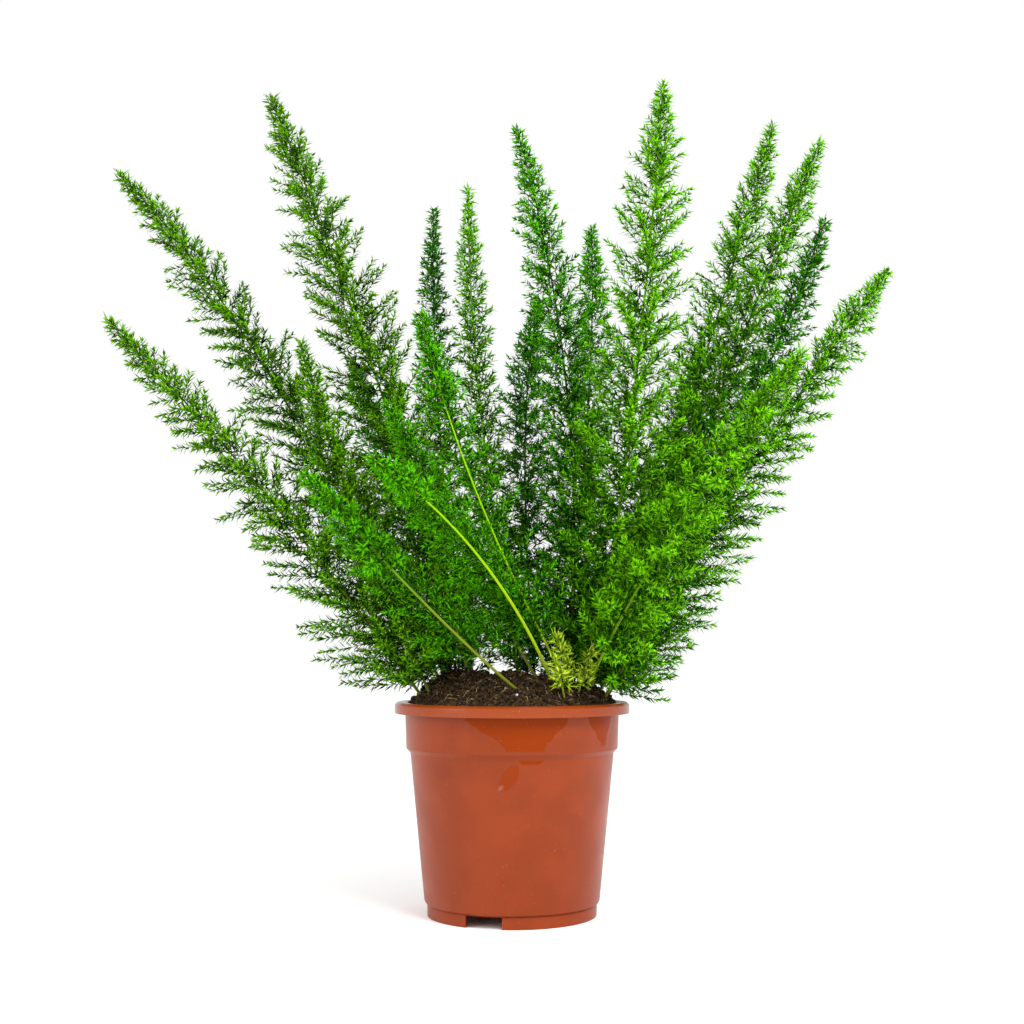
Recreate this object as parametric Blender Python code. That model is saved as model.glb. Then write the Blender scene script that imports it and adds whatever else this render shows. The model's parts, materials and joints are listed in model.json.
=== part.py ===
"""Foxtail fern in its nursery pot.

The pot is one thin moulded shell, the soil is one heap that fills it, and every plume of the
fern is one body: a bending stem with slim twigs all round it, and needles on the twigs.
Lengths are metres, +Z is up, and the origin is the middle of the pot's foot on the floor.
"""
import math
import random

import bpy
import numpy as np
from mathutils import Matrix, Vector
from mathutils.geometry import interpolate_bezier

# Pot: a turned plastic shell with a lip that is folded down at the rim
ROUND_SIDES = 32
WALL = 0.0015
RIM_RADIUS = 0.0850
RIM_TOP = 0.1513
RIM_BAND = 0.0077
LIP_EDGE = 0.0012
COLLAR_RADIUS_TOP = 0.0776
COLLAR_RADIUS_FOOT = 0.0765
COLLAR_FOOT = 0.1185
BODY_RADIUS_TOP = 0.0736
BODY_TOP = 0.1155
BODY_RADIUS_FOOT = 0.0630
BODY_FOOT = 0.0105
FOOT_RADIUS = 0.0607
FOOT_HEIGHT = 0.0087
FOOT_WALL = 0.0022
PLATE_THICKNESS = 0.0018
NOTCH_WIDTH = 0.0265
NOTCH_HEIGHT = 0.0077
NOTCH_COUNT = 3
FIRST_NOTCH = math.radians(-109)
DRAIN_HOLE_RADIUS = 0.0050
DRAIN_CIRCLE = 0.0400
DRAIN_HOLES = 6
DRAIN_SIDES = 8
SHARP_EDGE = math.radians(35)

# Soil: it starts just clear of the shell and is heaped above the rim
CLEARANCE = 0.0003
SOIL_EDGE_HEIGHT = 0.1500
SOIL_RISE = 0.0185
SOIL_RINGS = (0.0690, 0.0560, 0.0400, 0.0220)
SOIL_ROUGHNESS = 0.0012
SOIL_SEED = 11
# Each heap is x, y, height, spread
SOIL_HEAPS = (
    (-0.045, 0.012, 0.0080, 0.020),
    (0.062, 0.018, 0.0045, 0.014),
    (0.000, 0.030, 0.0020, 0.018),
    (-0.010, -0.045, -0.0030, 0.020),
)

# Stems, twigs and needles
CURVE_POINTS = 65
DIRECTION_STEP = 0.001
ROOT_DEPTH = 0.028
HOLE_SIDES = 6
HOLE_SPARE = 0.0005
STEM_RADIUS_FOOT = 0.00125
STEM_RADIUS_TIP = 0.00055
KNOT_LENGTH = 0.0032
KNOT_SPACING = 0.0330
KNOT_TURN = math.radians(20)
BARE_FOOT = 0.036
KNOT_CROWDING = 0.85
TIP_TAPER = 0.110
# Share of a plume's reach at the tip, at the end of the taper and far down the stem
REACH_AWAY = (0.0, TIP_TAPER, 0.280)
REACH_SHARES = (0.30, 1.05, 1.55)
TWIG_RADIUS = 0.00062
TWIG_OPEN_FOOT = math.radians(58)
TWIG_OPEN_TIP = math.radians(34)
TWIG_SWAY = 0.14
TWIG_SHORTER = 0.12
TWIG_LONGER = 0.08
TWIG_START = 0.0031
TWIG_SHARES = (1.0, 0.80, 0.62)
WHORL_LENGTH = 0.0024
WHORL_PLACES = (0.42, 0.70)
NEEDLE_LENGTH = 0.0082
NEEDLE_SPREAD = 0.12
NEEDLE_OPEN = math.radians(50)
NEEDLE_ROOM = 0.0008
TWIG_ROOM = 0.0009
SOIL_ROOM = 0.0030
STEM_RODS = 24
# Which two of a knot's six faces carry a twig, by turns
TWIG_FACES = ((1, 4), (0, 3))

# Each plume is its foot on the soil (x, y), its waist and its tip, and how far its twigs reach
PLUMES = {
    "plume_left_low": ((-0.066, -0.008), (-0.179, -0.030, 0.303), (-0.286, -0.060, 0.421), 0.024),
    "plume_left_upper": ((-0.053, 0.020), (-0.196, 0.025, 0.415), (-0.291, -0.020, 0.539), 0.024),
    "plume_left_tall": ((-0.032, 0.010), (-0.099, 0.000, 0.385), (-0.179, -0.020, 0.597), 0.028),
    "plume_slim_dark": ((-0.032, 0.045), (-0.059, 0.110, 0.367), (-0.067, 0.150, 0.563), 0.016),
    "plume_slim_bright": ((0.006, 0.046), (-0.026, 0.090, 0.388), (-0.036, 0.110, 0.570), 0.015),
    "plume_broad_dark": ((0.042, 0.024), (0.042, 0.020, 0.377), (0.003, 0.000, 0.582), 0.022),
    "plume_back_short": ((0.038, 0.049), (0.063, 0.120, 0.393), (0.068, 0.165, 0.553), 0.021),
    "plume_tall_bright": ((0.058, 0.000), (0.087, -0.035, 0.368), (0.108, -0.060, 0.591), 0.028),
    "plume_right_tall": ((0.058, 0.030), (0.150, 0.070, 0.412), (0.202, 0.030, 0.594), 0.023),
    "plume_right_mid": ((0.065, 0.015), (0.162, 0.045, 0.389), (0.245, 0.060, 0.592), 0.022),
    "plume_right_dark": ((0.069, -0.002), (0.163, -0.015, 0.341), (0.231, -0.020, 0.505), 0.021),
    "plume_right_low": ((0.066, -0.019), (0.170, -0.022, 0.316), (0.286, 0.020, 0.477), 0.022),
    "plume_front_right": ((0.053, -0.022), (0.104, -0.100, 0.263), (0.183, -0.170, 0.377), 0.023),
    "plume_front_high": ((0.040, -0.026), (-0.023, -0.085, 0.293), (-0.061, -0.120, 0.412), 0.025),
    "plume_front_left": ((0.029, -0.033), (-0.020, -0.120, 0.248), (-0.085, -0.208, 0.305), 0.025),
    "plume_front_low": ((0.004, -0.052), (-0.057, -0.120, 0.220), (-0.127, -0.196, 0.298), 0.022),
    "plume_left_inner": ((-0.059, -0.020), (-0.117, -0.020, 0.297), (-0.152, -0.040, 0.410), 0.024),
    "plume_front_inner": ((0.018, -0.022), (-0.029, -0.050, 0.252), (-0.089, -0.060, 0.363), 0.024),
    "plume_back_centre": ((0.018, 0.056), (0.011, 0.130, 0.361), (0.025, 0.190, 0.493), 0.024),
    "plume_back_left": ((-0.043, 0.044), (-0.093, 0.140, 0.312), (-0.144, 0.208, 0.445), 0.024),
    "plume_back_right": ((0.050, 0.048), (0.123, 0.140, 0.312), (0.168, 0.208, 0.458), 0.024),
}
# Young shoots stand up from the soil between the old stems
SHOOTS = {
    "shoot_left": ((0.040, -0.045), (0.036, -0.048, 0.182), (0.029, -0.050, 0.200), 0.020),
    "shoot_right": ((0.047, -0.036), (0.052, -0.040, 0.178), (0.057, -0.042, 0.192), 0.020),
    "shoot_low": ((0.036, -0.053), (0.033, -0.058, 0.170), (0.028, -0.064, 0.185), 0.018),
}
SHOOT_BARE_FOOT = 0.006
SHOOT_SPACING = 0.010

# Colours, roughness and metallic value of each kind of piece
TERRACOTTA = ((0.45, 0.085, 0.030, 1.0), 0.35, 0.0)
PEAT = ((0.020, 0.011, 0.007, 1.0), 0.95, 0.0)
OLD_GREEN = ((0.060, 0.130, 0.022, 1.0), 0.55, 0.0)
DARK_GREEN = ((0.030, 0.070, 0.018, 1.0), 0.60, 0.0)
LIGHT_GREEN = ((0.160, 0.280, 0.045, 1.0), 0.50, 0.0)
SHOOT_GREEN = ((0.330, 0.420, 0.050, 1.0), 0.50, 0.0)
DARK_PLUMES = ("plume_slim_dark", "plume_broad_dark", "plume_back_short", "plume_right_dark",
               "plume_back_centre", "plume_back_left", "plume_back_right")
LIGHT_PLUMES = ("plume_tall_bright", "plume_slim_bright", "plume_front_right")


def clear_scene():
    for thing in list(bpy.data.objects):
        bpy.data.objects.remove(thing, do_unlink=True)


def finish_of(name, look):
    """A plain material with a piece's colour, roughness and metallic value."""
    colour, roughness, metallic = look
    material = bpy.data.materials.new(name)
    material.use_nodes = True
    shader = material.node_tree.nodes["Principled BSDF"]
    shader.inputs["Base Color"].default_value = colour
    shader.inputs["Roughness"].default_value = roughness
    shader.inputs["Metallic"].default_value = metallic
    return material


def add_piece(name, points, faces, look):
    """One named object made of points and faces."""
    mesh = bpy.data.meshes.new(name)
    mesh.from_pydata([tuple(point) for point in points], [], faces)
    mesh.update()
    piece = bpy.data.objects.new(name, mesh)
    bpy.context.collection.objects.link(piece)
    mesh.materials.append(finish_of(name + "_finish", look))
    return piece


def on_circle(radius, angle, height):
    return (radius * math.cos(angle), radius * math.sin(angle), height)


def turned(profile):
    """Points and faces of a closed profile turned round Z; the profile runs up its outer side."""
    count = len(profile)
    points = []
    for side in range(ROUND_SIDES):
        angle = math.tau * side / ROUND_SIDES
        points += [on_circle(radius, angle, height) for radius, height in profile]
    faces = []
    for side in range(ROUND_SIDES):
        here = side * count
        there = (side + 1) % ROUND_SIDES * count
        for step in range(count):
            after = (step + 1) % count
            faces.append((here + step, there + step, there + after, here + after))
    return points, faces


def inner_radius(height):
    """Inside radius of the pot's wall at a height."""
    if height >= COLLAR_FOOT:
        share = (height - COLLAR_FOOT) / (RIM_TOP - RIM_BAND - COLLAR_FOOT)
        outside = COLLAR_RADIUS_FOOT + (COLLAR_RADIUS_TOP - COLLAR_RADIUS_FOOT) * min(share, 1.0)
    else:
        share = (height - BODY_FOOT) / (BODY_TOP - BODY_FOOT)
        outside = BODY_RADIUS_FOOT + (BODY_RADIUS_TOP - BODY_RADIUS_FOOT) * min(share, 1.0)
    return outside - WALL


def bore_cutter(name, position, radius, length, sides):
    """An upright prism that cuts a plain hole."""
    points = []
    for height in (-length / 2, length / 2):
        points += [on_circle(radius, math.tau * side / sides, height) for side in range(sides)]
    faces = [tuple(reversed(range(sides))), tuple(range(sides, 2 * sides))]
    for side in range(sides):
        after = (side + 1) % sides
        faces.append((side, after, sides + after, sides + side))
    mesh = bpy.data.meshes.new(name)
    mesh.from_pydata(points, [], faces)
    cutter = bpy.data.objects.new(name, mesh)
    cutter.location = position
    return cutter


def cut_away(piece, cutters):
    """Cuts a group of cutters out of a piece, applies the cut and removes the cutters."""
    group = bpy.data.collections.new(piece.name + "_cutters")
    bpy.context.scene.collection.children.link(group)
    for cutter in cutters:
        group.objects.link(cutter)
    cut = piece.modifiers.new("cut", "BOOLEAN")
    cut.operation = "DIFFERENCE"
    cut.operand_type = "COLLECTION"
    cut.collection = group
    cut.solver = "EXACT"
    shaped = bpy.data.meshes.new_from_object(
        piece.evaluated_get(bpy.context.evaluated_depsgraph_get()))
    piece.modifiers.remove(cut)
    piece.data = shaped
    for cutter in cutters:
        bpy.data.objects.remove(cutter, do_unlink=True)
    bpy.data.collections.remove(group)


def make_pot():
    """The turned shell with its folded lip, foot ring with notches, and drained bottom plate."""
    lip_outer = RIM_TOP - LIP_EDGE
    plate_top = FOOT_HEIGHT + PLATE_THICKNESS
    profile = [
        (FOOT_RADIUS - FOOT_WALL, 0.0),
        (FOOT_RADIUS, 0.0),
        (FOOT_RADIUS, FOOT_HEIGHT),
        (BODY_RADIUS_FOOT, BODY_FOOT),
        (BODY_RADIUS_TOP, BODY_TOP),
        (COLLAR_RADIUS_FOOT, COLLAR_FOOT),
        (COLLAR_RADIUS_TOP, RIM_TOP - WALL),
        (RIM_RADIUS - WALL, RIM_TOP - WALL),
        (RIM_RADIUS - WALL, RIM_TOP - RIM_BAND),
        (RIM_RADIUS, RIM_TOP - RIM_BAND),
        (RIM_RADIUS, lip_outer),
        (RIM_RADIUS - LIP_EDGE, RIM_TOP),
        (inner_radius(RIM_TOP), RIM_TOP),
        (inner_radius(COLLAR_FOOT), COLLAR_FOOT),
        (inner_radius(BODY_TOP), BODY_TOP),
        (inner_radius(plate_top), plate_top),
    ]
    points, faces = turned(profile)
    # The last ring and the foot's inner ring are closed by the plate's two faces
    count = len(profile)
    ring_over = [side * count + count - 1 for side in range(ROUND_SIDES)]
    ring_under = [side * count for side in range(ROUND_SIDES)]
    kept = [face for face in faces if not (set(face) & set(ring_over) and set(face) & set(ring_under))]
    top_ring = len(points)
    points += [on_circle(FOOT_RADIUS - FOOT_WALL, math.tau * side / ROUND_SIDES, FOOT_HEIGHT)
               for side in range(ROUND_SIDES)]
    for side in range(ROUND_SIDES):
        after = (side + 1) % ROUND_SIDES
        kept.append((top_ring + side, top_ring + after, ring_under[after], ring_under[side]))
    kept.append(tuple(reversed([top_ring + side for side in range(ROUND_SIDES)])))
    kept.append(tuple(ring_over))
    pot = add_piece("pot", points, kept, TERRACOTTA)

    plate_middle = FOOT_HEIGHT + PLATE_THICKNESS / 2
    cutters = [bore_cutter("drain_middle", (0, 0, plate_middle), DRAIN_HOLE_RADIUS,
                           4 * PLATE_THICKNESS, DRAIN_SIDES)]
    for hole in range(DRAIN_HOLES):
        place = on_circle(DRAIN_CIRCLE, math.tau * hole / DRAIN_HOLES, plate_middle)
        cutters.append(bore_cutter("drain", place, DRAIN_HOLE_RADIUS, 4 * PLATE_THICKNESS,
                                   DRAIN_SIDES))
    for notch in range(NOTCH_COUNT):
        angle = FIRST_NOTCH + math.tau * notch / NOTCH_COUNT
        depth = 3 * FOOT_WALL
        middle = FOOT_RADIUS - FOOT_WALL / 2
        cutter = bore_cutter("notch", (0, 0, 0), math.sqrt(0.5), 1.0, 4)
        cutter.data.transform(Matrix.Rotation(math.pi / 4, 4, "Z"))
        cutter.data.transform(Matrix.Diagonal((depth, NOTCH_WIDTH, 2 * NOTCH_HEIGHT, 1)))
        cutter.data.transform(Matrix.Translation((middle, 0, 0)))
        cutter.data.transform(Matrix.Rotation(angle, 4, "Z"))
        cutters.append(cutter)
    cut_away(pot, cutters)
    pot.data.shade_smooth()
    pot.data.set_sharp_from_angle(angle=SHARP_EDGE)


def soil_height(x, y):
    """Height of the heaped soil at a place, without its small lumps."""
    share = math.hypot(x, y) / (inner_radius(SOIL_EDGE_HEIGHT) - CLEARANCE)
    height = SOIL_EDGE_HEIGHT + SOIL_RISE * (1 - min(share, 1.0) ** 3)
    for heap_x, heap_y, rise, spread in SOIL_HEAPS:
        away = math.hypot(x - heap_x, y - heap_y) / spread
        height += rise * math.exp(-away * away) * (1 - share ** 6)
    return height


def make_soil(routes):
    """The filling of the pot: a lumpy heap with a plain hole for every stem."""
    chance = random.Random(SOIL_SEED)
    levels = (FOOT_HEIGHT + PLATE_THICKNESS + CLEARANCE, BODY_TOP, COLLAR_FOOT, SOIL_EDGE_HEIGHT)
    points = []
    for height in levels:
        radius = inner_radius(height) - CLEARANCE
        points += [on_circle(radius, math.tau * side / ROUND_SIDES, height)
                   for side in range(ROUND_SIDES)]
    for radius in SOIL_RINGS:
        for side in range(ROUND_SIDES):
            x, y, _ = on_circle(radius, math.tau * side / ROUND_SIDES, 0)
            lump = chance.uniform(-SOIL_ROUGHNESS, SOIL_ROUGHNESS)
            points.append((x, y, soil_height(x, y) + lump))
    rings = len(levels) + len(SOIL_RINGS)
    peak = len(points)
    points.append((0, 0, soil_height(0, 0)))
    faces = [tuple(reversed(range(ROUND_SIDES)))]
    for ring in range(rings - 1):
        for side in range(ROUND_SIDES):
            after = (side + 1) % ROUND_SIDES
            low, high = ring * ROUND_SIDES, (ring + 1) * ROUND_SIDES
            faces.append((low + side, low + after, high + side))
            faces.append((low + after, high + after, high + side))
    last = (rings - 1) * ROUND_SIDES
    faces += [(last + side, last + (side + 1) % ROUND_SIDES, peak) for side in range(ROUND_SIDES)]
    soil = add_piece("soil", points, faces, PEAT)

    cutters = []
    for route in routes:
        radius = (route.radius(0) + HOLE_SPARE) / math.cos(math.pi / HOLE_SIDES)
        cutter = bore_cutter("hole", (0, 0, 0), radius, 2 * ROOT_DEPTH + HOLE_SPARE, HOLE_SIDES)
        lean = Vector((0, 0, 1)).rotation_difference(route.start_direction()).to_matrix().to_4x4()
        middle = route.point(0) - route.start_direction() * HOLE_SPARE / 2
        cutter.data.transform(Matrix.Translation(middle) @ lean)
        cutters.append(cutter)
    cut_away(soil, cutters)


class Route:
    """The line that a stem follows from its root, through its foot and waist, to its tip."""

    def __init__(self, foot, waist, tip, bare_foot, spacing):
        ground = Vector((foot[0], foot[1], soil_height(*foot)))
        waist, tip = Vector(waist), Vector(tip)
        # The handle makes the curve pass through the waist half way along
        handle = 2 * waist - (ground + tip) / 2
        first = ground + (handle - ground) * 2 / 3
        second = tip + (handle - tip) * 2 / 3
        self.line = interpolate_bezier(ground, first, second, tip, CURVE_POINTS)
        self.marks = [0.0]
        for here, after in zip(self.line, self.line[1:]):
            self.marks.append(self.marks[-1] + (after - here).length)
        self.length = self.marks[-1]
        self.bare_foot = bare_foot
        self.spacing = spacing

    def start_direction(self):
        return (self.line[1] - self.line[0]).normalized()

    def point(self, along):
        if along <= 0:
            return self.line[0] + self.start_direction() * along
        step = min(int(np.searchsorted(self.marks, along, side="right")), len(self.line) - 1)
        share = (along - self.marks[step - 1]) / (self.marks[step] - self.marks[step - 1])
        return self.line[step - 1].lerp(self.line[step], min(share, 1.0))

    def direction(self, along):
        near = max(along, DIRECTION_STEP)
        ahead = self.point(near + DIRECTION_STEP)
        return (ahead - self.point(near - DIRECTION_STEP)).normalized()

    def radius(self, along):
        share = min(max(along / self.length, 0.0), 1.0)
        return STEM_RADIUS_FOOT + (STEM_RADIUS_TIP - STEM_RADIUS_FOOT) * share

    def knots(self):
        """Distances along the stem of the short knots that the twigs grow from."""
        last = self.length - 2 * NEEDLE_LENGTH
        count = max(2, round((last - self.bare_foot) / self.spacing) + 1)
        return [self.bare_foot + (last - self.bare_foot) * (knot / (count - 1)) ** KNOT_CROWDING
                for knot in range(count)]


class Space:
    """The slim rods that are already standing, so that nothing new crosses them."""

    def __init__(self):
        self.starts = np.zeros((0, 3))
        self.ends = np.zeros((0, 3))
        self.rooms = np.zeros(0)
        self.owners = []

    def take(self, start, end, room, owner):
        self.starts = np.vstack((self.starts, start))
        self.ends = np.vstack((self.ends, end))
        self.rooms = np.append(self.rooms, room)
        self.owners.append(owner)

    def is_free(self, start, end, room, own):
        """Whether a rod keeps its room to every rod but those of its own."""
        start, end = np.array(start), np.array(end)
        reach, others = end - start, self.ends - self.starts
        between = start - self.starts
        a = reach @ reach
        b = others @ reach
        c = between @ reach
        e = np.einsum("ij,ij->i", others, others)
        f = np.einsum("ij,ij->i", others, between)
        near = np.clip((b * f - c * e) / np.maximum(a * e - b * b, 1e-15), 0, 1)
        far = np.clip((b * near + f) / e, 0, 1)
        near = np.clip((b * far - c) / a, 0, 1)
        gap = between + near[:, None] * reach - far[:, None] * others
        distance = np.sqrt(np.einsum("ij,ij->i", gap, gap))
        others_only = np.array([owner not in own for owner in self.owners])
        return not np.any((distance < self.rooms + room + CLEARANCE) & others_only)


def above_soil(point):
    """Whether a point stays clear of the soil and of the pot's rim."""
    away = math.hypot(point[0], point[1])
    if away > RIM_RADIUS + SOIL_ROOM:
        return True
    ground = soil_height(point[0], point[1]) if away < inner_radius(RIM_TOP) else RIM_TOP
    return point[2] > ground + SOIL_ROOM


class Growth:
    """Points and faces of one plume, which grows outwards from its own three-cornered faces."""

    def __init__(self, name, space, chance):
        self.name = name
        self.space = space
        self.chance = chance
        self.points = []
        self.faces = []
        self.twigs = 0

    def ring(self, centre, axis, toward, radius):
        """Three points round an axis, the first of them on the side of toward."""
        first = (toward - axis * toward.dot(axis)).normalized()
        second = axis.cross(first)
        start = len(self.points)
        for corner in range(3):
            angle = math.tau * corner / 3
            self.points.append(centre + radius * (first * math.cos(angle) + second * math.sin(angle)))
        return (start, start + 1, start + 2)

    def band(self, lower, upper):
        """The six faces between two rings."""
        faces = []
        for corner in range(3):
            after = (corner + 1) % 3
            faces.append((lower[corner], lower[after], upper[corner]))
            faces.append((lower[after], upper[after], upper[corner]))
        return faces

    def middle(self, face):
        return sum((self.points[corner] for corner in face), Vector()) / 3

    def point_out(self, face, tip):
        """Draws a face out to a sharp tip."""
        self.points.append(tip)
        top = len(self.points) - 1
        for corner in range(3):
            self.faces.append((face[corner], face[(corner + 1) % 3], top))

    def whorl(self, centre, axis, toward, radius, own):
        """A short band whose six faces are drawn out to needles; returns its two rings."""
        lower = self.ring(centre, axis, toward, radius)
        half_turn = Matrix.Rotation(math.pi / 3, 3, axis)
        upper = self.ring(centre + axis * WHORL_LENGTH, axis, half_turn @ toward, radius)
        for face in self.band(lower, upper):
            root = self.middle(face)
            outward = root - centre
            outward = (outward - axis * outward.dot(axis)).normalized()
            length = NEEDLE_LENGTH * (1 + self.chance.uniform(-NEEDLE_SPREAD, NEEDLE_SPREAD))
            tip = root + length * (outward * math.sin(NEEDLE_OPEN) + axis * math.cos(NEEDLE_OPEN))
            if above_soil(tip) and self.space.is_free(root, tip, NEEDLE_ROOM, own):
                self.space.take(root, tip, NEEDLE_ROOM, own[0])
                self.point_out(face, tip)
            else:
                self.faces.append(face)
        return lower, upper

    def twig(self, face, axis_along, outward, reach, openness):
        """Tries to grow a twig from a stem's face, shorter if something is in its way."""
        root = self.middle(face)
        sway = Vector([self.chance.uniform(-TWIG_SWAY, TWIG_SWAY) for _ in range(3)])
        heading = outward * math.sin(openness) + axis_along * math.cos(openness) + sway
        axis = heading.normalized()
        full = reach / math.sin(openness) * (1 + self.chance.uniform(-TWIG_SHORTER, TWIG_LONGER))
        name = f"{self.name}_{self.twigs}"
        for share in TWIG_SHARES:
            end = root + axis * full * share
            clear = root + axis * TWIG_START
            free = self.space.is_free(clear, end, TWIG_ROOM, (self.name, name))
            if free and above_soil(end) and full * share > NEEDLE_LENGTH:
                break
        else:
            self.faces.append(face)
            return
        self.twigs += 1
        self.space.take(clear, end, TWIG_ROOM, name)
        length = full * share
        toward = self.points[face[0]] - root
        centre = root + axis * length * WHORL_PLACES[self.twigs % 2]
        lower, upper = self.whorl(centre, axis, toward, TWIG_RADIUS, (name,))
        self.faces += self.band(face, lower)
        self.point_out(upper, end)


def grow(name, route, reach, space, look, seed):
    """Grows one plume along its route and adds it as an object."""
    growth = Growth(name, space, random.Random(seed))
    axis = route.start_direction()
    toward = axis.orthogonal()
    bottom = growth.ring(route.point(-ROOT_DEPTH), axis, toward, route.radius(0))
    growth.faces.append(tuple(reversed(bottom)))
    below = bottom
    for count, along in enumerate(route.knots()):
        axis = route.direction(along)
        toward = Matrix.Rotation(KNOT_TURN, 3, axis) @ toward
        half_turn = Matrix.Rotation(math.pi / 3, 3, axis)
        low = route.point(along) - axis * KNOT_LENGTH / 2
        high = route.point(along) + axis * KNOT_LENGTH / 2
        lower = growth.ring(low, axis, toward, route.radius(along))
        upper = growth.ring(high, axis, half_turn @ toward, route.radius(along))
        growth.faces += growth.band(below, lower)
        to_tip = min((route.length - along) / TIP_TAPER, 1.0)
        openness = TWIG_OPEN_TIP + (TWIG_OPEN_FOOT - TWIG_OPEN_TIP) * to_tip
        far = reach * float(np.interp(route.length - along, REACH_AWAY, REACH_SHARES))
        sides = growth.band(lower, upper)
        for side, face in enumerate(sides):
            if side in TWIG_FACES[count % 2]:
                outward = growth.middle(face) - route.point(along)
                outward = (outward - axis * outward.dot(axis)).normalized()
                growth.twig(face, axis, outward, far, openness)
            else:
                growth.faces.append(face)
        below = upper
        toward = half_turn @ toward
    end = route.point(route.length - NEEDLE_LENGTH)
    lower, upper = growth.whorl(end, axis, toward, TWIG_RADIUS, (name,))
    growth.faces += growth.band(below, lower)
    growth.point_out(upper, route.point(route.length))
    add_piece(name, growth.points, growth.faces, look)


def look_of(name):
    if name in SHOOTS:
        return SHOOT_GREEN
    if name in DARK_PLUMES:
        return DARK_GREEN
    return LIGHT_GREEN if name in LIGHT_PLUMES else OLD_GREEN


def stand_stems(routes, space):
    """Marks the room of every stem before any twig grows."""
    for name, route in routes.items():
        last = route.point(-ROOT_DEPTH)
        for step in range(STEM_RODS + 1):
            here = route.point(route.length * step / STEM_RODS)
            space.take(last, here, route.radius(0), name)
            last = here


clear_scene()
make_pot()
routes = {}
for name, (foot, waist, tip, reach) in PLUMES.items():
    routes[name] = Route(foot, waist, tip, BARE_FOOT, KNOT_SPACING)
for name, (foot, waist, tip, reach) in SHOOTS.items():
    routes[name] = Route(foot, waist, tip, SHOOT_BARE_FOOT, SHOOT_SPACING)
make_soil(routes.values())
space = Space()
stand_stems(routes, space)
for seed, (name, (foot, waist, tip, reach)) in enumerate({**SHOOTS, **PLUMES}.items()):
    grow(name, routes[name], reach, space, look_of(name), seed)
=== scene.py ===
import json
import math
import random

import bpy
import numpy as np
from mathutils import Matrix, Vector, noise
from mathutils.geometry import interpolate_bezier

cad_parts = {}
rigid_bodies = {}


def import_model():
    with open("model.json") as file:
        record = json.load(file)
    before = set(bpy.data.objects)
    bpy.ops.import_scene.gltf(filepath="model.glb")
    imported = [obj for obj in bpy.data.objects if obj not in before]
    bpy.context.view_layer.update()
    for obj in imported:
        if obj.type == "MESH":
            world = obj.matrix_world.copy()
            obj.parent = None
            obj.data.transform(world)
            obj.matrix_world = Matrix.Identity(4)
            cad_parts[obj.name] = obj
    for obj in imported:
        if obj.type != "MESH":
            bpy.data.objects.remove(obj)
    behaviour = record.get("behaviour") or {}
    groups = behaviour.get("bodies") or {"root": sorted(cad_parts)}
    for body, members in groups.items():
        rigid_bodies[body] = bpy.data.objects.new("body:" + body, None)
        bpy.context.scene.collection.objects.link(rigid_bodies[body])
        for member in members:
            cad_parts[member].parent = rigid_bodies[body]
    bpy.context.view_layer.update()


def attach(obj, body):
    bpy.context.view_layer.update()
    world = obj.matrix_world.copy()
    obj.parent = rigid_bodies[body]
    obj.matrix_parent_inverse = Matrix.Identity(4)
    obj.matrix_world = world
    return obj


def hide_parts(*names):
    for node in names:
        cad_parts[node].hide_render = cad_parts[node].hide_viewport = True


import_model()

# The pot: a nursery pot of thin terracotta-coloured polypropylene, moulded in one piece.
# Its wall tapers to a foot ring with three notches, a collar steps out below the rim, and
# the rim is folded down into a lip. The plate over the foot ring has drain holes.
pot_sides = 160
wall = 0.0015
rim_radius = 0.0850
rim_top = 0.1513
rim_band = 0.0077
rim_round = 0.0016
rim_slope = 0.0018
mouth_round = 0.0012
mouth_slope = 0.0010
lip_extra = 0.0006
collar_top = 0.0776
collar_low = 0.0765
collar_foot = 0.1185
body_top_radius = 0.0736
body_top = 0.1155
body_foot_radius = 0.0630
body_foot = 0.0105
heel_round = 0.0006
heel_drop = 0.0008
groove_depth = 0.0005
groove_height = 0.0012
foot_radius = 0.0607
foot_flare = 0.0002
foot_height = 0.0087
foot_wall = 0.0022
plate = 0.0018
notch_width = 0.0265
notch_height = 0.0082
notch_angles = [math.radians(-109 + 120 * step) for step in range(3)]
drain_radius = 0.0050
drain_circle = 0.0400
drain_holes = 6
drain_sides = 24
drain_cut = 0.004
edge_round = 0.00035

# Water has wetted the pot's front. Each wet patch is its top and its low edge, and each edge
# is a middle, a half width and a height.
wet_patches = (
    ((0.0034, 0.036, 0.1436), (0.0092, 0.014, 0.1212)),
    ((0.0610, 0.010, 0.1436), (0.0640, 0.003, 0.1225)),
    ((0.0125, 0.010, 0.1146), (0.0120, 0.007, 0.1120)),
)
wet_soft = 0.0016
wet_low_out, wet_low_in = 0.0008, 0.0005
wet_top_out, wet_top_soft = 0.0004, 0.0008
front_from, front_full = 0.02, 0.03
# Ovals on the front: middle, height, half width, half height, lean, and how soft the edge is
wet_run = (-0.0018, 0.1030, 0.0068, 0.0105, 0.40, 0.50)
wet_drop = (-0.0075, 0.0962, 0.0022, 0.0028, 0.3, 0.9)
# The side dent is a hollow made by the bump, and its colour is darkened as painted shade
side_dent = (-0.0464, 0.1057, 0.0085, 0.0075, 0.0, 1.0)
run_share = 0.7
dent_shade = 0.45
dust_shade = 0.2


def paint(red, green, blue):
    """A colour given as it looks on screen, 0 to 255, for a shader's socket."""
    def light(value):
        share = value / 255
        return share / 12.92 if share <= 0.04045 else ((share + 0.055) / 1.055) ** 2.4
    return (light(red), light(green), light(blue), 1.0)


def finish_for(name, roughness):
    """A new material and its shader."""
    finish = bpy.data.materials.new(name)
    finish.use_nodes = True
    shader = finish.node_tree.nodes["Principled BSDF"]
    shader.inputs["Roughness"].default_value = roughness
    return finish, shader


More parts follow.
